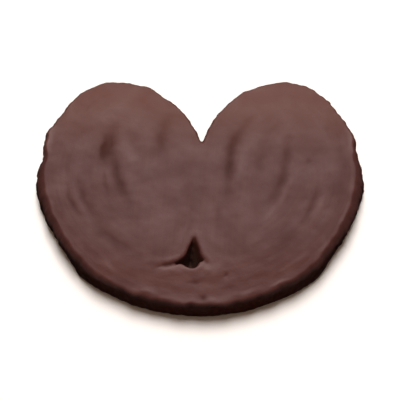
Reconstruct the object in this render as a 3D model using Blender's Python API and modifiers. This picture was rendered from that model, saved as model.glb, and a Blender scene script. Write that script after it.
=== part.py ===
"""A chocolate-coated palmier: a heart-shaped slice of a double roll of puff pastry, lying flat.

Metres, +Z up. The origin is the middle of the footprint, on the plane that the slice rests on. The
tips of the two rolls point along +Y, and the end where one layer closes both rolls lies along -Y.
The slice is a slab of the heart's outline. Its rim is rounded and swells where chocolate set in
waves, its face carries the marks of the rolled layers under the coating, and the eye, where both
rolls and the outer layer part, is a three-cornered pit that chocolate closed at the bottom.
"""

import bmesh
import bpy
import numpy as np

MM = 0.001

# Driving dimensions of the slice.
WIDTH = 130.2 * MM  # across both rolls, without the waves of chocolate on the rim
DEPTH = 106.8 * MM  # from the tips of the rolls to the closed end
THICKNESS = 11.0 * MM  # of the slab, below its crown
RIM_ROUND = 3.2 * MM  # radius of the slab's edges
FOOT_CUT = 1.8 * MM  # what the resting plane cuts off the slab's rounded underside
FOOT_WELD = 0.1 * MM  # points this near to the resting plane lie on it
BELLY = 0.5 * MM  # swell of the side at half its height

# The heart's knots, clockwise from the notch, in halves of WIDTH and DEPTH: the place, then the
# handle before it and the handle after it.
HEART = (
    ((0.011, 0.290), (-0.040, 0.700), (0.070, 0.735)),  # notch between the rolls
    ((0.570, 1.004), (0.270, 1.004), (0.870, 1.004)),  # tip of the right roll
    ((1.000, 0.170), (1.000, 0.370), (1.000, -0.490)),  # outer side of the right roll
    ((0.000, -1.012), (0.555, -1.012), (-0.555, -1.012)),  # closed end
    ((-1.000, 0.170), (-1.000, -0.490), (-1.000, 0.370)),  # outer side of the left roll
    ((-0.570, 1.004), (-0.870, 1.004), (-0.270, 1.004)),  # tip of the left roll
)
KNOT_STEPS = 24  # straight pieces between two knots

# Waves of chocolate that set on the rim, in millimetres: the middle, the reach along the rim and
# the swell, which is negative in a dip. Those of the outer sides are alike on both rolls.
SIDE_WAVES = (
    ((62.6, 25.0), 5.0, 1.3),
    ((65.0, 14.5), 4.0, -1.2),
    ((65.0, 4.0), 7.0, 0.7),
    ((61.5, -14.0), 7.0, -0.9),
)
END_WAVES = (
    ((-26.0, 53.0), 5.0, 0.5),
    ((-18.0, 49.0), 3.5, 1.1),
    ((-10.5, 41.5), 3.0, 0.5),
    ((0.0, -53.3), 13.0, 0.4),
)
RIM_REACH = 7.0 * MM  # how far in from the rim the sides still swell
NOTCH_REACH = 9.0 * MM  # how near the notch they no longer do

# The face: both rolls swell gently, their outer shoulders slope, and the seam stays low.
CROWN = 0.9 * MM
CROWN_REACH = 9.0 * MM  # distance from the rim over which the crown rises
SHOULDER = 1.8 * MM  # fall of the outer shoulders
SHOULDER_REACH = 7.0 * MM
SEAM = 0.8 * MM
SEAM_REACH = 4.5 * MM
LAYER_PITCH = 7.5 * MM  # of the bands that the rolled sheet leaves in the coating
LAYER_RELIEF = 0.16 * MM

# Marks of the layers on the face, in millimetres: points along the mark, then half its width and
# its height, which is negative where two turns part.
FACE_MARKS = (
    (((-36.0, 24.0), (-37.8, 17.0), (-38.2, 10.5)), 2.6, -1.5),  # core of the left roll
    (((-35.0, 13.0), (-33.4, 5.0), (-32.6, -1.3), (-28.1, -8.6)), 1.6, -0.9),
    (((-12.3, 33.0), (-15.4, 27.0), (-16.0, 21.0), (-14.3, 11.2)), 2.0, -0.6),
    (((-47.9, -2.6), (-44.3, -11.0), (-36.5, -24.0), (-23.9, -34.0)), 1.8, -0.5),
    (((-45.5, 26.0), (-42.1, 33.0), (-35.0, 36.5), (-24.8, 28.9)), 3.0, 0.5),
    (((-31.1, 20.3), (-28.8, 13.8), (-27.5, 7.4)), 2.4, 0.4),
    (((18.4, 28.2), (14.2, 21.0), (12.4, 10.0), (11.1, -3.8)), 1.9, -0.9),
    (((34.6, 19.0), (33.6, 10.0), (32.7, 1.1), (29.2, -8.0)), 1.7, -0.9),  # right core
    (((26.3, 16.3), (23.9, 8.7), (21.7, 2.4)), 2.0, -0.5),
    (((46.3, -3.8), (44.9, -9.8), (40.4, -18.7)), 1.7, -0.5),
    (((38.0, -25.0), (31.0, -31.0), (24.1, -37.0)), 2.0, -0.4),
    (((18.5, 32.0), (25.1, 40.6), (34.0, 41.0), (46.4, 26.9)), 3.0, 0.5),
    (((18.6, 17.6), (17.0, 9.9), (15.0, -1.3)), 1.9, 0.4),
)

# The eye, clockwise from its upper corner, in millimetres from its middle: the place, then the
# handle before it and the handle after it.
EYE_MIDDLE = (-3.4 * MM, -33.9 * MM)
EYE = (
    ((1.7, 8.7), (0.6, 6.6), (2.6, 6.6)),  # upper corner, where the rolls meet
    ((4.1, 1.0), (3.5, 3.4), (4.6, -0.8)),
    ((8.2, -4.6), (6.6, -3.2), (6.6, -4.6)),  # right corner, a short slit
    ((1.3, -6.2), (3.4, -5.6), (-0.8, -6.3)),
    ((-3.4, -4.4), (-2.0, -4.8), (-5.4, -4.2)),
    ((-11.8, -5.7), (-9.4, -5.6), (-9.8, -4.8)),  # left corner, a long slit
    ((-3.0, 1.0), (-5.2, -1.9), (-1.2, 3.6)),
)
EYE_STEPS = 4
EYE_FLOOR = 2.6 * MM  # height of the chocolate that closed the eye
EYE_TAPER = 0.42  # the eye's size on its floor, to its size on the face

FACET = 2.0 * MM
FACET_SMOOTHING = 6  # rounds of smoothing that take out the steps of the even facets

CHOCOLATE = (0.085, 0.027, 0.017, 1.0)
CHOCOLATE_ROUGHNESS = 0.42


def clear_scene():
    for obj in list(bpy.data.objects):
        bpy.data.objects.remove(obj, do_unlink=True)


def new_collection(name):
    collection = bpy.data.collections.new(name)
    bpy.context.scene.collection.children.link(collection)
    return collection


def filled_outline(name, knots, unit, steps, collection):
    """A closed Bezier outline as a filled flat curve, its knots in multiples of unit."""
    curve = bpy.data.curves.new(name, "CURVE")
    curve.dimensions = "2D"
    curve.fill_mode = "BOTH"
    curve.resolution_u = steps
    spline = curve.splines.new("BEZIER")
    spline.bezier_points.add(len(knots) - 1)
    spline.use_cyclic_u = True
    for point, knot in zip(spline.bezier_points, knots):
        place, before, after = ((x * unit[0], y * unit[1], 0) for x, y in knot)
        point.handle_left_type = point.handle_right_type = "FREE"
        point.co, point.handle_left, point.handle_right = place, before, after
    obj = bpy.data.objects.new(name, curve)
    collection.objects.link(obj)
    return obj


def as_mesh_object(obj, collection):
    """Replaces a curve, or an object with modifiers, by its welded mesh."""
    bpy.context.view_layer.update()
    graph = bpy.context.evaluated_depsgraph_get()
    mesh = bpy.data.meshes.new_from_object(obj.evaluated_get(graph), depsgraph=graph)
    mesh.transform(obj.matrix_world)
    bm = bmesh.new()
    bm.from_mesh(mesh)
    bmesh.ops.remove_doubles(bm, verts=bm.verts, dist=0.01 * MM)
    bm.to_mesh(mesh)
    bm.free()
    name = obj.name
    bpy.data.objects.remove(obj, do_unlink=True)
    made = bpy.data.objects.new(name, mesh)
    collection.objects.link(made)
    return made


def points_of(obj):
    flat = np.empty(len(obj.data.vertices) * 3, np.float32)
    obj.data.vertices.foreach_get("co", flat)
    return flat.reshape(-1, 3).astype(float)


def set_points(obj, points):
    obj.data.vertices.foreach_set("co", points.astype(np.float32).ravel())
    obj.data.update()


def smooth_step(x):
    x = np.clip(x, 0, 1)
    return x * x * (3 - 2 * x)


def bump(distance, reach):
    return np.exp(-((distance / reach) ** 2))


def heart_line():
    """The heart's outline as a closed run of points, clockwise, its first point repeated."""
    unit = np.array((WIDTH / 2, DEPTH / 2))
    t = np.linspace(0, 1, KNOT_STEPS, endpoint=False)[:, None]
    shares = ((1 - t) ** 3, 3 * t * (1 - t) ** 2, 3 * t**2 * (1 - t), t**3)
    line = []
    for (start, _, leave), (end, arrive, _) in zip(HEART, HEART[1:] + HEART[:1]):
        line.append(sum(share * unit * at for share, at in zip(shares, (start, leave, arrive, end))))
    return np.vstack([*line, line[0][:1]])


def mark_line(points, steps=8):
    """A Catmull-Rom curve through a mark's points, which are in millimetres."""
    knots = np.array([points[0], *points, points[-1]])
    t = np.linspace(0, 1, steps, endpoint=False)[:, None]
    line = []
    for a, b, c, d in zip(knots, knots[1:], knots[2:], knots[3:]):
        bend = (2 * a - 5 * b + 4 * c - d) * t**2 + (3 * b - a - 3 * c + d) * t**3
        line.append(b + ((c - a) * t + bend) / 2)
    return np.vstack([*line, knots[-1:]]) * MM


def nearest_on(line, flat):
    """For each place, the nearest one on a line: its distance, itself and the line's left side."""
    best = np.full(len(flat), np.inf)
    nearest = np.zeros((len(flat), 2))
    left = np.zeros((len(flat), 2))
    for start, end in zip(line, line[1:]):
        run = end - start
        on_line = start + np.clip((flat - start) @ run / (run @ run), 0, 1)[:, None] * run
        distance = np.linalg.norm(flat - on_line, axis=1)
        nearer = distance < best
        best[nearer] = distance[nearer]
        nearest[nearer] = on_line[nearer]
        left[nearer] = np.array((-run[1], run[0])) / np.linalg.norm(run)
    return best, nearest, left


def face_rise(flat):
    """How far the face stands above the flat slab at each place."""
    to_rim, _, outwards = nearest_on(heart_line(), flat)
    rise = CROWN * (1 - bump(to_rim, CROWN_REACH))
    rise -= SHOULDER * outwards[:, 0] ** 2 * np.clip(1 - to_rim / SHOULDER_REACH, 0, 1) ** 2
    notch = np.array((WIDTH / 2, DEPTH / 2)) * HEART[0][0]
    to_seam, _, _ = nearest_on(np.array((EYE_MIDDLE, notch)), flat)
    rise -= SEAM * bump(to_seam, SEAM_REACH)
    to_roll_edge = np.minimum(to_rim, to_seam)
    bands = np.cos(2 * np.pi * to_roll_edge / LAYER_PITCH)
    rise += LAYER_RELIEF * bands * smooth_step(to_roll_edge / LAYER_PITCH)
    for points, half_width, height in FACE_MARKS:
        to_mark, _, _ = nearest_on(mark_line(points), flat)
        rise += height * MM * bump(to_mark, half_width * MM)
    return rise


def side_swell(points):
    """How far each point of the slab moves outwards, as two columns: its belly and waves."""
    to_rim, at_rim, outwards = nearest_on(heart_line(), points[:, :2])
    up = points[:, 2] / THICKNESS
    swell = BELLY * 4 * np.clip(up * (1 - up), 0, None)
    left_waves = tuple(((-x, y), reach, height) for (x, y), reach, height in SIDE_WAVES)
    for middle, reach, height in SIDE_WAVES + left_waves + END_WAVES:
        along = np.linalg.norm(at_rim - np.array(middle) * MM, axis=1)
        swell += height * MM * bump(along, reach * MM) * (1 - 0.5 * smooth_step(up))
    notch = np.array((WIDTH / 2, DEPTH / 2)) * HEART[0][0]
    swell *= smooth_step(1 - to_rim / RIM_REACH)
    swell *= smooth_step(np.linalg.norm(at_rim - notch, axis=1) / NOTCH_REACH)
    return outwards * swell[:, None]


def heart_slab(collection):
    """The heart's outline as a slab with rounded edges, in facets of one size."""
    unit = (WIDTH / 2, DEPTH / 2)
    height = THICKNESS + FOOT_CUT
    slab = filled_outline("palmier", HEART, unit, KNOT_STEPS, collection)
    slab.data.extrude = height / 2 - RIM_ROUND
    slab.data.bevel_depth = RIM_ROUND
    slab.data.bevel_resolution = 3
    slab.data.offset = -RIM_ROUND
    slab.location.z = THICKNESS - height / 2
    slab = as_mesh_object(slab, collection)
    facets = slab.modifiers.new("even_facets", "REMESH")
    facets.mode = "VOXEL"
    facets.voxel_size = FACET
    smoothing = slab.modifiers.new("smoothing", "SMOOTH")
    smoothing.iterations = FACET_SMOOTHING
    return as_mesh_object(slab, collection)


def shape_slice(slab):
    """Gives the slab its face and its rim, then cuts the underside flat on the resting plane."""
    points = points_of(slab)
    swell = side_swell(points)
    upper = smooth_step(points[:, 2] / THICKNESS)
    points[:, 2] += upper * face_rise(points[:, :2])
    points[:, :2] += swell
    set_points(slab, points)
    bm = bmesh.new()
    bm.from_mesh(slab.data)
    whole = [*bm.verts, *bm.edges, *bm.faces]
    bmesh.ops.bisect_plane(
        bm, geom=whole, dist=FOOT_WELD, plane_co=(0, 0, 0), plane_no=(0, 0, 1), clear_inner=True
    )
    for vert in bm.verts:
        if vert.co.z < FOOT_WELD:
            vert.co.z = 0
    bmesh.ops.holes_fill(bm, edges=[edge for edge in bm.edges if edge.is_boundary])
    bmesh.ops.recalc_face_normals(bm, faces=bm.faces)
    bm.to_mesh(slab.data)
    bm.free()


def eye_cutter(collection):
    """The three-cornered pit between the rolls, narrower towards its floor."""
    above = 3 * MM
    height = THICKNESS + above - EYE_FLOOR
    cutter = filled_outline("eye_cutter", EYE, (MM, MM), EYE_STEPS, collection)
    cutter.data.extrude = height / 2
    cutter.location.z = EYE_FLOOR + height / 2
    cutter = as_mesh_object(cutter, collection)
    points = points_of(cutter)
    size = EYE_TAPER + (1 - EYE_TAPER) * (points[:, 2] - EYE_FLOOR) / (THICKNESS - EYE_FLOOR)
    points[:, :2] = EYE_MIDDLE + points[:, :2] * size[:, None]
    set_points(cutter, points)
    cutter.hide_render = True
    cutter.display_type = "WIRE"
    return cutter


def centre_on_origin(obj):
    points = points_of(obj)
    low, high = points.min(axis=0), points.max(axis=0)
    points -= (*(low[:2] + high[:2]) / 2, low[2])
    set_points(obj, points)


def chocolate():
    material = bpy.data.materials.new("chocolate")
    material.use_nodes = True
    shader = material.node_tree.nodes["Principled BSDF"]
    shader.inputs["Base Color"].default_value = CHOCOLATE
    shader.inputs["Roughness"].default_value = CHOCOLATE_ROUGHNESS
    shader.inputs["Metallic"].default_value = 0.0
    return material


def main():
    clear_scene()
    parts = new_collection("palmier_pastry")
    cutters = new_collection("cutters")
    palmier = heart_slab(parts)
    shape_slice(palmier)
    cut = palmier.modifiers.new("eye", "BOOLEAN")
    cut.object = eye_cutter(cutters)
    palmier = as_mesh_object(palmier, parts)
    centre_on_origin(palmier)
    palmier.data.materials.append(chocolate())


main()
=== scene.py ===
"""The looks of a chocolate-coated palmier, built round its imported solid.

The slice is modelled once more as a fine mesh: a disc drawn out to the heart's outline, extruded
and bevelled, whose face is then worked like the real one. The rolled layers show through the
coating as bands and creases that follow each roll, brush streaks run along them, the eye sinks
between the rolls, and the coating swells over the rim. Metres, +Z up; the tips of the rolls point
along +Y.
"""

import math

import bpy
import numpy as np
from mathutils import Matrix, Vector, noise


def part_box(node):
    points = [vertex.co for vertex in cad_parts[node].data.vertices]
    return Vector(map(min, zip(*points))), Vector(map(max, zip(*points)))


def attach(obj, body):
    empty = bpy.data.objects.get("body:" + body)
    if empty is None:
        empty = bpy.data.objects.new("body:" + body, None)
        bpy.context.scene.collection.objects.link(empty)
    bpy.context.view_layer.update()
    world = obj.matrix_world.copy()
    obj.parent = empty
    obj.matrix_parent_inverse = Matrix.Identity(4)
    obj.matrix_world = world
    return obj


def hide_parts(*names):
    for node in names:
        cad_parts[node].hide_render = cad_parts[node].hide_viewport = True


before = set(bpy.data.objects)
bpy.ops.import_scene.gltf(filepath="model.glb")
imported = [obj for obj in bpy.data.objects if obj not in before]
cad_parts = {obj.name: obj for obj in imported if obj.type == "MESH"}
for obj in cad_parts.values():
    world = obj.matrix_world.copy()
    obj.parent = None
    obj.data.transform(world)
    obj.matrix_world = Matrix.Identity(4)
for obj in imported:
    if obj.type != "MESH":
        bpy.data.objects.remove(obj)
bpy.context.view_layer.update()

MM = 0.001
LOW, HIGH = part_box("palmier")

# The heart's knots, clockwise from the notch, in halves of the slice's width and depth: the
# place, then the handle before it and the handle after it.
HEART = (
    ((0.011, 0.385), (-0.075, 0.700), (0.105, 0.735)),  # notch between the rolls
    ((0.570, 1.004), (0.270, 1.004), (0.870, 1.004)),  # tip of the right roll
    ((1.000, 0.170), (1.000, 0.370), (1.000, -0.490)),  # outer side of the right roll
    ((0.000, -1.012), (0.555, -1.012), (-0.555, -1.012)),  # closed end
    ((-1.000, 0.170), (-1.000, -0.490), (-1.000, 0.370)),  # outer side of the left roll
    ((-0.570, 1.004), (-0.870, 1.004), (-0.270, 1.004)),  # tip of the left roll
)
KNOT_STEPS = 48
HALF = np.array((65.1, 53.4)) * MM
SHIFT = np.array((0.0, 0.4)) * MM  # from the outline's middle to the middle of the footprint
THICKNESS = 11.0 * MM
RIM_ROUND = 0.8 * MM  # the coated edge between face and side
FOOT_ROUND = 1.7 * MM
FOOT_CUT = 1.1 * MM  # what the resting plane cuts off the rounded underside
BELLY = 0.5 * MM

# The eye, clockwise from its upper corner, in millimetres from its middle.
EYE_MIDDLE = np.array((-3.4, -33.9)) * MM
EYE = (
    ((1.3, 8.9), (0.4, 6.4), (1.8, 6.8)),  # upper corner, where the rolls meet
    ((3.5, 1.6), (3.1, 4.0), (3.7, 0.2)),
    ((5.7, -2.5), (4.3, -0.9), (4.4, -2.4)),  # right corner, a short slit
    ((2.9, -3.8), (3.2, -2.7), (2.5, -4.9)),
    ((0.6, -5.6), (1.7, -5.6), (-0.5, -5.6)),
    ((-3.1, -3.9), (-1.9, -4.7), (-4.0, -3.4)),
    ((-9.4, -5.1), (-7.2, -4.4), (-7.0, -3.7)),  # left corner, a long slit
    ((-1.6, 1.3), (-2.4, -1.4), (-1.1, 3.2)),
)

EYE_STEPS = 8
EYE_FLOOR = 2.6 * MM
EYE_TAPER = 0.5  # share of its size that it keeps at its floor
EYE_SLANT = np.array((-1.0, -2.6)) * MM  # how far its floor lies off to the side
EYE_LIP = 0.08 * MM  # how far the coating stands up round the eye
EYE_LIP_REACH = 1.2 * MM

# Waves of chocolate that set on the rim, in millimetres: the middle, the reach along the rim and
# the swell, which is negative in a dip. Those of the sides are alike on both rolls.
SIDE_WAVES = (
    ((62.6, 25.0), 5.0, 2.1),
    ((65.0, 14.5), 4.0, -1.0),
    ((65.0, 4.0), 7.0, 1.1),
    ((61.5, -14.0), 7.0, -1.1),
    ((54.0, -26.0), 9.0, -1.7),
    ((42.0, -39.0), 9.0, 0.6),
)
END_WAVES = (
    ((-26.0, 53.0), 5.0, 0.5),
    ((-20.6, 51.0), 3.3, 1.8),
    ((-14.0, 45.5), 3.0, -0.7),
    ((22.5, 51.0), 5.0, -0.6),
    ((0.0, -53.3), 20.0, 0.3),
)
RIM_REACH = 7.0 * MM
NOTCH_REACH = 9.0 * MM

CROWN = 0.9 * MM
CROWN_REACH = 9.0 * MM
SHOULDER = 3.2 * MM  # how far the outer sides of the rolls slope down
SHOULDER_REACH = 3.1 * MM
# Painted shade that darkens the sloping outer shoulders.
SHOULDER_PAINTED_SHADE = -0.2
TIP_START = 24.0 * MM  # beyond this the tips of the rolls have no such slope
TIP_FADE = 14.0 * MM
BEAD = 0.25 * MM  # the heaped-up edge of the coating along the rim of the face, also painted paler as a highlight
BEAD_REACH = 0.8 * MM
END_DROP = 1.5 * MM  # how much thinner the closed end is
END_START = -28.0 * MM
END_FADE = 25.0 * MM
END_PAINTED_SHEEN = 0.3  # a painted sheen that lightens the closed end, whose slope catches less of the real one
END_PALE = -31.0 * MM
END_PALE_STOP = 4.0 * MM  # its distance from the rim
END_PALE_FADE = 11.0 * MM
END_LEAN = 0.6 * MM  # how far the rim leans out there
END_REACH = 26.0 * MM
SEAM = 0.45 * MM
SEAM_REACH = 5.0 * MM
LAYER_PITCH = 7.5 * MM
LAYER_RELIEF = 0.045 * MM

# Marks on the face, in millimetres: points along each, then half its width, its height, which is
# negative where two turns part, and its tone: -1 paints shade in a crease, 1 a highlight on a ridge.
MARKS = (
    (((-36.2, 26.2), (-36.9, 18.0), (-38.8, 8.5)), 2.4, -0.45, -0.6),  # core of the left roll
    (((-38.4, 21.0), (-39.0, 15.6), (-39.6, 10.6)), 1.1, -0.4, -0.6),
    (((-35.4, 14.0), (-33.4, 4.4), (-31.9, -0.8), (-30.0, -6.0), (-27.2, -11.5)), 1.9, -0.25, -0.5),
    (((-38.6, 4.6), (-37.7, -0.6), (-35.8, -7.6)), 0.9, -0.15, -0.25),
    (((-12.3, 34.0), (-15.2, 27.0), (-16.4, 21.0), (-14.8, 11.2)), 2.6, -0.2, -0.42),
    (((-52.7, -2.0), (-51.2, -8.6), (-47.0, -16.0)), 1.1, -0.12, -0.3),
    (((-48.2, -1.6), (-44.3, -11.0), (-39.4, -19.0)), 1.6, -0.12, -0.34),
    (((-39.8, -20.4), (-34.7, -26.1), (-28.7, -30.6), (-22.9, -34.6)), 2.0, -0.16, -0.42),
    (((-50.8, -3.0), (-47.0, -11.5), (-41.4, -21.2)), 1.4, 0.1, 0.14),
    (((-45.4, 25.5), (-42.6, 32.3), (-36.0, 36.2), (-29.7, 34.8), (-23.8, 28.0)), 5.0, 0.15, 0.2),
    (((-32.4, 22.5), (-29.4, 14.0), (-27.3, 6.4)), 2.6, 0.2, 0.17),
    (((19.6, 30.2), (15.2, 22.9), (12.5, 17.0), (12.0, 8.0), (10.8, -5.2)), 2.1, -0.24, -0.52),
    (((19.6, 20.5), (16.9, 9.9), (14.5, -3.3)), 2.6, 0.18, 0.25),
    (((35.9, 21.0), (34.9, 10.0), (33.0, 1.1), (28.6, -9.4)), 2.1, -0.22, -0.5),  # right core
    (((27.0, 18.3), (23.9, 8.7), (21.3, 1.0)), 2.47, -0.1, -0.2),
    (((27.4, 8.0), (26.2, -5.2)), 2.21, 0.08, 0.12),
    (((35.4, 0.0), (32.1, -9.8), (26.9, -16.9), (23.0, -23.1)), 1.6, 0.12, 0.2),
    (((46.6, -2.4), (44.9, -9.8), (39.8, -19.8)), 1.6, -0.12, -0.32),
    (((50.4, -5.0), (45.6, -14.0), (40.8, -22.8)), 1.5, 0.1, 0.14),
    (((39.4, -23.6), (31.0, -31.0), (23.0, -38.2)), 2.8, -0.1, -0.2),
    (((40.6, -34.0), (31.4, -40.8)), 1.95, 0.08, 0.12),
    (((17.8, 30.0), (24.6, 40.0), (33.0, 42.4), (41.6, 34.8), (47.0, 26.0)), 5.0, 0.1, 0.05),
    (((-5.2, -14.0), (-5.1, -20.4), (-7.2, -29.4), (-12.0, -35.2)), 1.17, 0.08, 0.1),
    (((-7.0, -34.4), (-12.0, -36.6), (-21.9, -37.4)), 1.3, 0.12, 0.17),  # lips of the eye
    (((-9.6, -37.9), (-12.6, -38.9), (-15.6, -39.6)), 0.7, -0.6, -0.8),
    (((1.2, -36.9), (3.4, -38.3)), 0.7, -0.3, -0.5),
    (((-15.2, -42.4), (-9.5, -41.6), (-5.4, -41.2)), 1.7, 0.18, 0.2),
    (((0.6, -40.4), (3.4, -41.6), (7.4, -43.2)), 2.1, 0.16, 0.15),
    (((4.8, -16.0), (5.0, -22.0), (4.2, -29.0)), 1.3, 0.04, 0.07),
    (((6.8, -8.8), (6.6, -26.0)), 1.56, -0.04, -0.16),
    (((-2.4, -44.8), (-1.8, -47.4)), 1.69, -0.22, -0.47),  # pits under the eye
    (((0.2, -51.0), (2.0, -52.2)), 1.0, -0.3, -0.6),
    (((8.8, -42.4), (10.2, -43.6)), 1.1, -0.3, -0.55),
    (((43.2, 10.8), (44.8, 8.6)), 1.56, -0.12, -0.2),
    # Pale lips on the outer sides of both rolls, a painted highlight.
    (((-60.0, 28.0), (-61.6, 21.5), (-62.0, 15.0)), 1.1, 0.25, 0.35),
    (((60.0, 28.0), (61.6, 21.5), (62.0, 15.0)), 1.1, 0.25, 0.35),
    (((-22.5, -48.6), (-18.9, -49.4), (-15.6, -50.6)), 1.3, 0.24, 0.05),  # lips along the rim
    (((-38.0, -36.3), (-34.4, -39.4), (-31.0, -41.6)), 1.6, 0.2, 0.1),
    (((-10.3, -52.2), (-5.3, -53.9), (0.0, -54.2), (5.3, -53.9), (10.3, -52.2)), 1.3, 0.22, 0.0),
    (((13.4, -51.0), (17.7, -50.3), (21.5, -48.4)), 1.3, 0.24, 0.05),
)

WAVER = 4.0 * MM  # how finely the marks waver
WAVER_REACH = 0.7 * MM

# The fine mesh and its relief.
GRAIN = 0.45 * MM  # spacing of the points
SMOOTHING = 6  # rounds that melt the edges, as set chocolate has none
STREAK_WIDTH = 2.0 * MM
STREAK_LENGTH = 24.0 * MM
STREAK_RELIEF = 0.03 * MM
LUMP = 3.2 * MM
LUMP_RELIEF = 0.07 * MM
DRIP = 8.0 * MM  # width of the runs of chocolate on the side
DRIP_RELIEF = 0.45 * MM
TOOTH = 2.1 * MM  # width of the small knobs, most of them on the outer sides
TOOTH_RELIEF = 0.6 * MM
TOOTH_FADE = 2.5 * MM  # how far in from the rim the knobs reach
SCALLOP = 0.6 * MM  # how unevenly the coating ends round the face
SCALLOP_REACH = 5.0 * MM
FOOT_FLARE = 0.25 * MM  # chocolate that ran out along the foot
FOOT_MIDDLE = 1.2 * MM
ROLL_CORE = np.array((33.0, 8.0)) * MM  # middle of the right roll
ROLL_RADIUS = 24.0 * MM


def smooth_step(x):
    x = np.clip(x, 0, 1)
    return x * x * (3 - 2 * x)


def bump(distance, reach):
    return np.exp(-((distance / reach) ** 2))


def outline(knots, unit, steps):
    """A closed Bezier outline as points, clockwise, its first point repeated."""
    t = np.linspace(0, 1, steps, endpoint=False)[:, None]
    shares = ((1 - t) ** 3, 3 * t * (1 - t) ** 2, 3 * t**2 * (1 - t), t**3)
    line = []
    for (start, _, leave), (end, arrive, _) in zip(knots, knots[1:] + knots[:1]):
        line.append(sum(share * unit * at for share, at in zip(shares, (start, leave, arrive, end))))
    return np.vstack([*line, line[0][:1]])


def route(points, steps=10):
    """A Catmull-Rom curve through a mark's points, which are in millimetres."""
    knots = np.array([points[0], *points, points[-1]])
    t = np.linspace(0, 1, steps, endpoint=False)[:, None]
    line = []
    for a, b, c, d in zip(knots, knots[1:], knots[2:], knots[3:]):
        bend = (2 * a - 5 * b + 4 * c - d) * t**2 + (3 * b - a - 3 * c + d) * t**3
        line.append(b + ((c - a) * t + bend) / 2)
    return np.vstack([*line, knots[-1:]]) * MM + SHIFT


def nearest_on(line, flat):
    """For each place: distance to a line, how far along it, and the line's left side there."""
    best = np.full(len(flat), np.inf)
    along = np.zeros(len(flat))
    left = np.zeros((len(flat), 2))
    passed = 0.0
    for start, end in zip(line, line[1:]):
        run = end - start
        length = np.linalg.norm(run)
        share = np.clip((flat - start) @ run / length**2, 0, 1)
        distance = np.linalg.norm(flat - start - share[:, None] * run, axis=1)
        nearer = distance < best
        best[nearer] = distance[nearer]
        along[nearer] = passed + share[nearer] * length
        left[nearer] = np.array((-run[1], run[0])) / length
        passed += length
    return best, along, left


def inside(line, flat):
    """Whether each place lies inside a closed line."""
    x, y = flat.T
    crossings = np.zeros(len(flat), int)
    for (x0, y0), (x1, y1) in zip(line, line[1:]):
        spans = (y0 > y) != (y1 > y)
        if y1 != y0:
            crossings += spans & (x < x0 + (y - y0) * (x1 - x0) / (y1 - y0))
    return crossings % 2 == 1


def noise_at(points, size, seed):
    """Smooth noise between about -1 and 1, with features of the given size."""
    places = points / size + seed
    return np.array([noise.noise(Vector(place)) for place in places])


def points_of(obj):
    flat = np.empty(len(obj.data.vertices) * 3, np.float32)
    obj.data.vertices.foreach_get("co", flat)
    return flat.reshape(-1, 3).astype(float)


def set_points(obj, points):
    obj.data.vertices.foreach_set("co", points.astype(np.float32).ravel())
    obj.data.update()


def work_on(obj):
    """Makes this object alone the selected and active one."""
    bpy.ops.object.select_all(action="DESELECT")
    obj.select_set(True)
    bpy.context.view_layer.objects.active = obj


def plate(name, corners, low, high):
    """A disc drawn out to the given corners and extruded from low up to high."""
    bpy.ops.object.select_all(action="DESELECT")
    bpy.ops.mesh.primitive_circle_add(vertices=len(corners), radius=0.06, fill_type="NGON")
    made = bpy.context.object
    made.name = name
    set_points(made, np.column_stack((corners, np.full(len(corners), low))))
    bpy.ops.object.mode_set(mode="EDIT")
    bpy.ops.mesh.select_all(action="SELECT")
    bpy.ops.mesh.extrude_region_move(TRANSFORM_OT_translate={"value": (0, 0, high - low)})
    bpy.ops.mesh.select_all(action="SELECT")
    bpy.ops.mesh.normals_make_consistent(inside=False)
    bpy.ops.object.mode_set(mode="OBJECT")
    return made


def round_edge(obj, height, radius, segments):
    """Rounds the edges that lie at one height."""
    work_on(obj)
    points = points_of(obj)
    level = np.abs(points[:, 2] - height) < 0.01 * MM
    for item in (*obj.data.vertices, *obj.data.edges, *obj.data.polygons):
        item.select = False
    for edge in obj.data.edges:
        edge.select = bool(level[edge.vertices[0]] and level[edge.vertices[1]])
    bpy.ops.object.mode_set(mode="EDIT")
    bpy.ops.mesh.select_mode(type="EDGE")
    bpy.ops.mesh.bevel(offset=radius, segments=segments, affect="EDGES", clamp_overlap=False)
    bpy.ops.object.mode_set(mode="OBJECT")


def apply_modifier(obj, kind, **settings):
    work_on(obj)
    bpy.ops.object.modifier_add(type=kind)
    modifier = obj.modifiers[-1]
    for setting, value in settings.items():
        setattr(modifier, setting, value)
    bpy.ops.object.modifier_apply(modifier=modifier.name)


def remove(obj):
    mesh = obj.data
    bpy.data.objects.remove(obj, do_unlink=True)
    bpy.data.meshes.remove(mesh)


HEART_LINE = outline(HEART, HALF, KNOT_STEPS)
NOTCH = HEART_LINE[0]
SEAM_LINE = np.array((EYE_MIDDLE, NOTCH))


def melted_slice():
    """The heart as an even fine mesh with melted edges and the eye sunk in it."""
    slab = plate("coated_palmier", HEART_LINE[:-1], -FOOT_CUT, THICKNESS)
    round_edge(slab, THICKNESS, RIM_ROUND, 4)
    round_edge(slab, -FOOT_CUT, FOOT_ROUND, 4)
    above = 3 * MM
    eye_line = outline(EYE, MM, EYE_STEPS)[:-1]
    cutter = plate("eye_cutter", eye_line, EYE_FLOOR, THICKNESS + above)
    points = points_of(cutter)
    depth = (THICKNESS - points[:, 2:]) / (THICKNESS - EYE_FLOOR)
    points[:, :2] = EYE_MIDDLE + points[:, :2] * (1 - (1 - EYE_TAPER) * depth) + EYE_SLANT * depth
    set_points(cutter, points)
    apply_modifier(slab, "BOOLEAN", operation="DIFFERENCE", solver="EXACT", object=cutter)
    remove(cutter)
    apply_modifier(slab, "REMESH", mode="VOXEL", voxel_size=GRAIN)
    apply_modifier(slab, "SMOOTH", iterations=SMOOTHING)
    return slab


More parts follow.
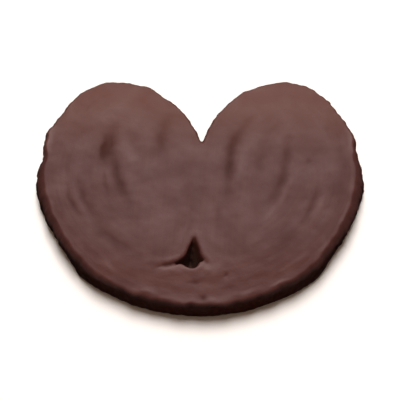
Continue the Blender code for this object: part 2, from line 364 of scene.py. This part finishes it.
def roll_flow(flat, to_roll_edge):
    """Coordinates that follow the rolls: in from the roll's edge, then round its core."""
    offset = np.column_stack((np.abs(flat[:, 0]), flat[:, 1])) - ROLL_CORE
    turn = np.arctan2(offset[:, 1], offset[:, 0])
    drift = 40 * MM * np.tanh(flat[:, 0] / (20 * MM))
    round_x = ROLL_RADIUS * np.cos(turn) + drift
    return np.column_stack((to_roll_edge, round_x, ROLL_RADIUS * np.sin(turn)))


def face_relief(flat, flow, to_rim, outwards, to_seam):
    """How far the face stands above the flat slab, and its tone, which paints shade and highlights."""
    rise = CROWN * (1 - bump(to_rim, CROWN_REACH))
    sideways = np.clip(outwards[:, 0] * np.sign(flat[:, 0]), 0, 1) ** 1.9
    sideways *= smooth_step((TIP_START - flat[:, 1]) / TIP_FADE)
    sideways *= smooth_step((np.abs(flat[:, 0]) - 20 * MM) / (15 * MM))
    slope_width = SHOULDER_REACH * sideways + 0.01 * MM
    rise -= SHOULDER * slope_width / SHOULDER_REACH * np.clip(1 - to_rim / slope_width, 0, 1) ** 1.25
    to_edge = to_rim - np.maximum(slope_width, RIM_ROUND)
    on_rim = np.column_stack((flat, np.zeros(len(flat))))
    bead = bump(to_edge - BEAD_REACH, BEAD_REACH)
    bead *= np.clip(-0.1 + 1.6 * noise_at(on_rim, 7 * MM, 3.1), 0, 1)
    rise += BEAD * bead
    sloped = sideways * smooth_step(1 - to_rim / slope_width)
    # Painted shade on the sloping shoulders.
    tone = SHOULDER_PAINTED_SHADE * sloped
    # Where the closed end gets its painted sheen, away from the rim.
    pale = smooth_step((END_PALE - flat[:, 1]) / END_PALE_FADE) * (1 - bump(to_rim, END_PALE_STOP))
    # A painted highlight on the bead, with the closed end's painted sheen.
    tone += 0.2 * bead + END_PAINTED_SHEEN * pale
    rise -= END_DROP * smooth_step((END_START - flat[:, 1]) / END_FADE)
    rise -= SEAM * bump(to_seam, SEAM_REACH)
    to_eye, _, _ = nearest_on(EYE_MIDDLE + outline(EYE, MM, EYE_STEPS), flat)
    lip = bump(to_eye - EYE_LIP_REACH, EYE_LIP_REACH)
    rise += EYE_LIP * lip
    # The lip round the eye is painted paler as a highlight.
    tone += 0.12 * lip
    places = np.column_stack((flat, np.zeros(len(flat))))
    uneven = noise_at(places, 18 * MM, 8.8)
    bands = np.cos(2 * np.pi * (flow[:, 0] / LAYER_PITCH + 0.5 * uneven))
    shown = np.clip(0.45 + 1.2 * noise_at(places, 15 * MM, 1.9), 0, 1)
    rise += LAYER_RELIEF * bands * shown * smooth_step(flow[:, 0] / LAYER_PITCH)
    waver = np.column_stack([noise_at(places, WAVER, seed) for seed in (7.7, 5.2)])
    for points, half_width, height, shade in MARKS:
        mark = route(points)
        length = np.linalg.norm(np.diff(mark, axis=0), axis=1).sum()
        to_mark, along, _ = nearest_on(mark, flat + WAVER_REACH * waver)
        to_end = np.minimum(along, length - along) / (0.35 * length)
        fade = 0.35 + 0.65 * smooth_step(to_end)
        sharp = 1.2 if height < 0 else 2.0
        rise += height * MM * fade * np.exp(-((to_mark / (half_width * MM)) ** sharp))
        # The tone paints shade into the creases and pits and highlights onto the ridges and lips.
        tone += shade * fade * bump(to_mark, half_width * MM)
    return rise, tone


def side_swell(points, to_rim, at_rim, outwards, up):
    """How far the side stands out: its belly, its waves and the runs of chocolate."""
    swell = BELLY * 4 * np.clip(up * (1 - up), 0, None)
    left_waves = tuple(((-x, y), reach, height) for (x, y), reach, height in SIDE_WAVES)
    for middle, reach, height in SIDE_WAVES + left_waves + END_WAVES:
        along = np.linalg.norm(at_rim - np.array(middle) * MM, axis=1)
        swell += height * MM * bump(along, reach * MM) * (1 - 0.5 * smooth_step(up))
    on_rim = np.column_stack((at_rim, points[:, 2] - to_rim))
    to_end = np.linalg.norm(at_rim - HEART_LINE[3 * KNOT_STEPS], axis=1)
    swell += END_LEAN * (smooth_step(up) - 0.75) * bump(to_end, END_REACH)
    swell += FOOT_FLARE * bump(points[:, 2] - FOOT_MIDDLE, FOOT_MIDDLE)
    swell += DRIP_RELIEF * noise_at(on_rim * (1, 1, 0.6), DRIP, 11.3)
    knobs = noise_at(on_rim * (1, 1, 0.4), TOOTH, 4.7)
    on_sides = smooth_step((np.abs(at_rim[:, 0]) - 50 * MM) / (8 * MM))
    swell += TOOTH_RELIEF * knobs * (0.5 + 0.5 * on_sides) * smooth_step(1 - to_rim / TOOTH_FADE)
    swell += SCALLOP * noise_at(on_rim, SCALLOP_REACH, 6.3) * smooth_step(2 * up - 1)
    swell *= smooth_step(1 - to_rim / RIM_REACH)
    return swell * smooth_step(np.linalg.norm(at_rim - NOTCH, axis=1) / NOTCH_REACH)


def shape_coating(slab):
    """Moves the points of the fine mesh to the relief of the coated slice."""
    points = points_of(slab)
    flat = points[:, :2].copy()
    to_rim, along_rim, outwards = nearest_on(HEART_LINE, flat)
    to_seam, _, _ = nearest_on(SEAM_LINE, flat)
    steps = np.linalg.norm(np.diff(HEART_LINE, axis=0), axis=1)
    reached = np.concatenate(((0,), np.cumsum(steps)))
    at_rim = np.column_stack([np.interp(along_rim, reached, HEART_LINE[:, i]) for i in (0, 1)])
    flow = roll_flow(flat, np.minimum(to_rim, to_seam))
    rise, tone = face_relief(flat, flow, to_rim, outwards, to_seam)
    streaks = noise_at(flow / (STREAK_WIDTH, STREAK_LENGTH, STREAK_LENGTH), 1.0, 0.5)
    rise += STREAK_RELIEF * streaks
    rise += LUMP_RELIEF * noise_at(np.column_stack((flat, np.zeros(len(flat)))), LUMP, 2.9)
    up = points[:, 2] / THICKNESS
    swell = side_swell(points, to_rim, at_rim, outwards, up)
    pit = inside(EYE_MIDDLE + outline(EYE, 1.15 * MM, EYE_STEPS), flat)
    pit = pit * smooth_step((THICKNESS - points[:, 2]) / (5 * MM))
    # The side walls, whose colour is darkened as painted shade.
    wall = smooth_step((1 - up) / 0.2)
    points[:, 2] += smooth_step(up) * rise
    points[:, :2] += outwards * swell[:, None]
    set_points(slab, points)
    # Paler and more orange towards the tips of the rolls, on the face.
    paler_tips = smooth_step((flat[:, 1] - 5 * MM) / (43 * MM)) * smooth_step(3 * up - 2)
    for name, values in (("tone", tone), ("pit", pit), ("paler_tips", paler_tips), ("wall", wall)):
        layer = slab.data.attributes.new(name, "FLOAT", "POINT")
        layer.data.foreach_set("value", values.astype(np.float32))
    layer = slab.data.attributes.new("roll_flow", "FLOAT_VECTOR", "POINT")
    layer.data.foreach_set("vector", flow.astype(np.float32).ravel())


def cut_foot(slab):
    """Cuts the underside flat where the slice rests."""
    work_on(slab)
    bpy.ops.object.mode_set(mode="EDIT")
    bpy.ops.mesh.select_all(action="SELECT")
    bpy.ops.mesh.bisect(
        plane_co=(0, 0, 0), plane_no=(0, 0, 1), use_fill=True, clear_inner=True, threshold=0.05 * MM
    )
    bpy.ops.mesh.select_all(action="SELECT")
    bpy.ops.mesh.normals_make_consistent(inside=False)
    bpy.ops.object.mode_set(mode="OBJECT")


def fit_to_frame(slab):
    """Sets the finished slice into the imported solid's box, shrunk where it would stand out."""
    points = points_of(slab)
    points[:, 2] = np.where(points[:, 2] < 0.05 * MM, 0, points[:, 2])
    points[:, :2] -= SHIFT
    low, high = points.min(axis=0), points.max(axis=0)
    spare = np.concatenate((np.array(HIGH) / high, np.array(LOW)[:2] / low[:2]))
    points *= (*np.minimum(1, np.minimum(spare[:2], spare[3:])), min(1, spare[2]))
    set_points(slab, points)


def linear(hex_code):
    """An sRGB hex colour as linear red, green, blue and alpha."""
    parts = [int(hex_code[i : i + 2], 16) / 255 for i in (1, 3, 5)]
    return tuple(c / 12.92 if c <= 0.04045 else ((c + 0.055) / 1.055) ** 2.4 for c in parts) + (1,)


def add(tree, kind, sockets=None, **settings):
    """Adds a node with its settings; a socket takes a value or another node's output."""
    made = tree.nodes.new(kind)
    for setting, value in settings.items():
        setattr(made, setting, value)
    for name, value in (sockets or {}).items():
        if isinstance(value, bpy.types.NodeSocket):
            tree.links.new(value, made.inputs[name])
        else:
            made.inputs[name].default_value = value
    return made


def new_material(name):
    material = bpy.data.materials.new(name)
    material.use_nodes = True
    tree = material.node_tree
    return material, tree, tree.nodes["Principled BSDF"]


def dark_chocolate():
    """Dark couverture, brushed on and left to set: satin, with painted highlights on its ridges and
    painted shade in its creases and on its sides.
    """
    material, tree, shader = new_material("brushed_dark_chocolate")
    place = add(tree, "ShaderNodeTexCoord").outputs["Object"]
    tone = add(tree, "ShaderNodeAttribute", attribute_name="tone").outputs["Fac"]
    pit = add(tree, "ShaderNodeAttribute", attribute_name="pit").outputs["Fac"]
    paler_tips = add(tree, "ShaderNodeAttribute", attribute_name="paler_tips").outputs["Fac"]
    wall = add(tree, "ShaderNodeAttribute", attribute_name="wall").outputs["Fac"]
    flow = add(tree, "ShaderNodeAttribute", attribute_name="roll_flow").outputs["Vector"]
    along = add(tree, "ShaderNodeMapping", {"Vector": flow, "Scale": (800, 60, 60)})
    streak = add(
        tree, "ShaderNodeTexNoise", {"Vector": along.outputs[0], "Scale": 1.0, "Detail": 3.0}
    )
    mottle = add(
        tree, "ShaderNodeTexNoise", {"Vector": place, "Scale": 1 / (10 * MM), "Detail": 2.0}
    )
    grain = add(
        tree, "ShaderNodeTexNoise", {"Vector": place, "Scale": 1 / (0.9 * MM), "Detail": 2.0}
    )
    shade = tone
    for texture, weight in ((streak, 0.27), (mottle, 0.42)):
        part = add(
            tree, "ShaderNodeMath", {0: texture.outputs["Fac"], 1: 0.5}, operation="SUBTRACT"
        )
        shade = add(
            tree,
            "ShaderNodeMath",
            {0: part.outputs[0], 1: 2 * weight, 2: shade},
            operation="MULTIPLY_ADD",
        ).outputs[0]
    share = add(tree, "ShaderNodeMapRange", {"Value": shade, "From Min": -1.0, "From Max": 1.0})
    ramp = add(tree, "ShaderNodeValToRGB", {"Fac": share.outputs[0]})
    stops = ramp.color_ramp.elements
    stops[0].position, stops[0].color = 0.15, linear("#381812")
    stops[1].position, stops[1].color = 0.85, linear("#5B3833")
    middle = stops.new(0.5)
    middle.color = linear("#4B2824")
    # A paler, more orange colour towards the tips of the rolls.
    paler_tips = add(
        tree,
        "ShaderNodeMix",
        {"Factor": paler_tips, 6: ramp.outputs["Color"], 7: linear("#552C22")},
        data_type="RGBA",
    )
    # The side walls darkened: painted shade.
    shaded_wall = add(
        tree,
        "ShaderNodeMix",
        {"Factor": wall, 6: paler_tips.outputs[2], 7: linear("#35140B")},
        data_type="RGBA",
    )
    deep = add(
        tree,
        "ShaderNodeMix",
        {"Factor": pit, 6: shaded_wall.outputs[2], 7: linear("#412B24")},
        data_type="RGBA",
    )
    tree.links.new(deep.outputs[2], shader.inputs["Base Color"])
    rough = add(
        tree,
        "ShaderNodeMapRange",
        {"Value": streak.outputs["Fac"], "From Min": 0.3, "From Max": 0.7, "To Min": 0.46, "To Max": 0.56},
    )
    duller = add(
        tree,
        "ShaderNodeMath",
        {0: shade, 1: -0.3, 2: rough.outputs[0]},
        operation="MULTIPLY_ADD",
        use_clamp=True,
    )
    dullest = add(
        tree,
        "ShaderNodeMath",
        {0: wall, 1: -0.14, 2: duller.outputs[0]},
        operation="MULTIPLY_ADD",
        use_clamp=True,
    )
    tree.links.new(dullest.outputs[0], shader.inputs["Roughness"])
    relief = add(
        tree,
        "ShaderNodeMath",
        {0: streak.outputs["Fac"], 1: 0.4, 2: grain.outputs["Fac"]},
        operation="MULTIPLY_ADD",
    )
    bumps = add(
        tree, "ShaderNodeBump", {"Height": relief.outputs[0], "Distance": 0.035 * MM, "Strength": 1.0}
    )
    tree.links.new(bumps.outputs[0], shader.inputs["Normal"])
    shader.inputs["IOR"].default_value = 1.46
    return material


def studio():
    """A pale table in a bright round room, a wide softbox overhead and one low behind."""
    bpy.ops.object.select_all(action="DESELECT")
    bpy.ops.mesh.primitive_circle_add(vertices=96, radius=6.0, fill_type="NGON")
    table = bpy.context.object
    table.name = "pale_table"
    material, tree, shader = new_material("matt_white_board")
    shader.inputs["Base Color"].default_value = linear("#FAF4F0")
    shader.inputs["Roughness"].default_value = 0.9
    table.data.materials.append(material)
    table.visible_glossy = False

    bpy.ops.object.select_all(action="DESELECT")
    bpy.ops.mesh.primitive_cylinder_add(
        vertices=96, radius=0.9, depth=3.0, end_fill_type="NOTHING", location=(0, 0, 1.45)
    )
    wall = bpy.context.object
    wall.name = "pale_wall"
    material, tree, shader = new_material("lit_white_paper")
    shader.inputs["Base Color"].default_value = linear("#F4F4F4")
    shader.inputs["Emission Color"].default_value = linear("#FFF8F2")
    shader.inputs["Emission Strength"].default_value = 0.95
    wall.data.materials.append(material)
    for ray in ("diffuse", "glossy", "shadow", "transmission"):
        setattr(wall, "visible_" + ray, False)

    world = bpy.data.worlds.new("studio")
    world.use_nodes = True
    background = world.node_tree.nodes["Background"]
    background.inputs["Color"].default_value = linear("#FFDCC0")
    background.inputs["Strength"].default_value = WORLD_LIGHT
    bpy.context.scene.world = world
    world.cycles_visibility.glossy = False

    for name, place, size, watts, unseen_by in SOFTBOXES:
        lamp = bpy.data.lights.new(name, "AREA")
        lamp.shape = "ELLIPSE"
        lamp.size, lamp.size_y = size
        lamp.energy = watts
        softbox = bpy.data.objects.new(name, lamp)
        bpy.context.scene.collection.objects.link(softbox)
        softbox.location = place
        softbox.rotation_euler = Vector(place).to_track_quat("Z", "Y").to_euler()
        setattr(softbox, "visible_" + unseen_by, False)


def camera():
    lens = bpy.data.cameras.new("camera")
    lens.lens = 85
    lens.sensor_width = 36
    eye = bpy.data.objects.new("camera", lens)
    bpy.context.scene.collection.objects.link(eye)
    rise = math.radians(CAMERA_ELEVATION)
    eye.location = Vector(CAMERA_TARGET) + CAMERA_DISTANCE * Vector((0, -math.cos(rise), math.sin(rise)))
    eye.rotation_euler = (math.pi / 2 - rise, 0, 0)
    bpy.context.scene.camera = eye


WORLD_LIGHT = 0.2
# Each softbox: its place, its size across and along, its power and what doesn't see it.
SOFTBOXES = (
    ("key", (0.0, 2.4, 5.5), (3.4, 4.6), 470.0, "glossy"),
    ("sheen", (0.0, 2.45, 2.6), (4.0, 2.4), 70.0, "diffuse"),
)
CAMERA_ELEVATION = 55.0
CAMERA_TARGET = (0.0, -4.9 * MM, 5.5 * MM)
CAMERA_DISTANCE = 0.371

palmier = melted_slice()
shape_coating(palmier)
cut_foot(palmier)
fit_to_frame(palmier)
work_on(palmier)
bpy.ops.object.shade_smooth_by_angle(angle=math.radians(60))
palmier.data.materials.clear()
palmier.data.materials.append(dark_chocolate())
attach(palmier, "root")
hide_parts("palmier")

bpy.context.scene.view_settings.view_transform = "Standard"
studio()
camera()
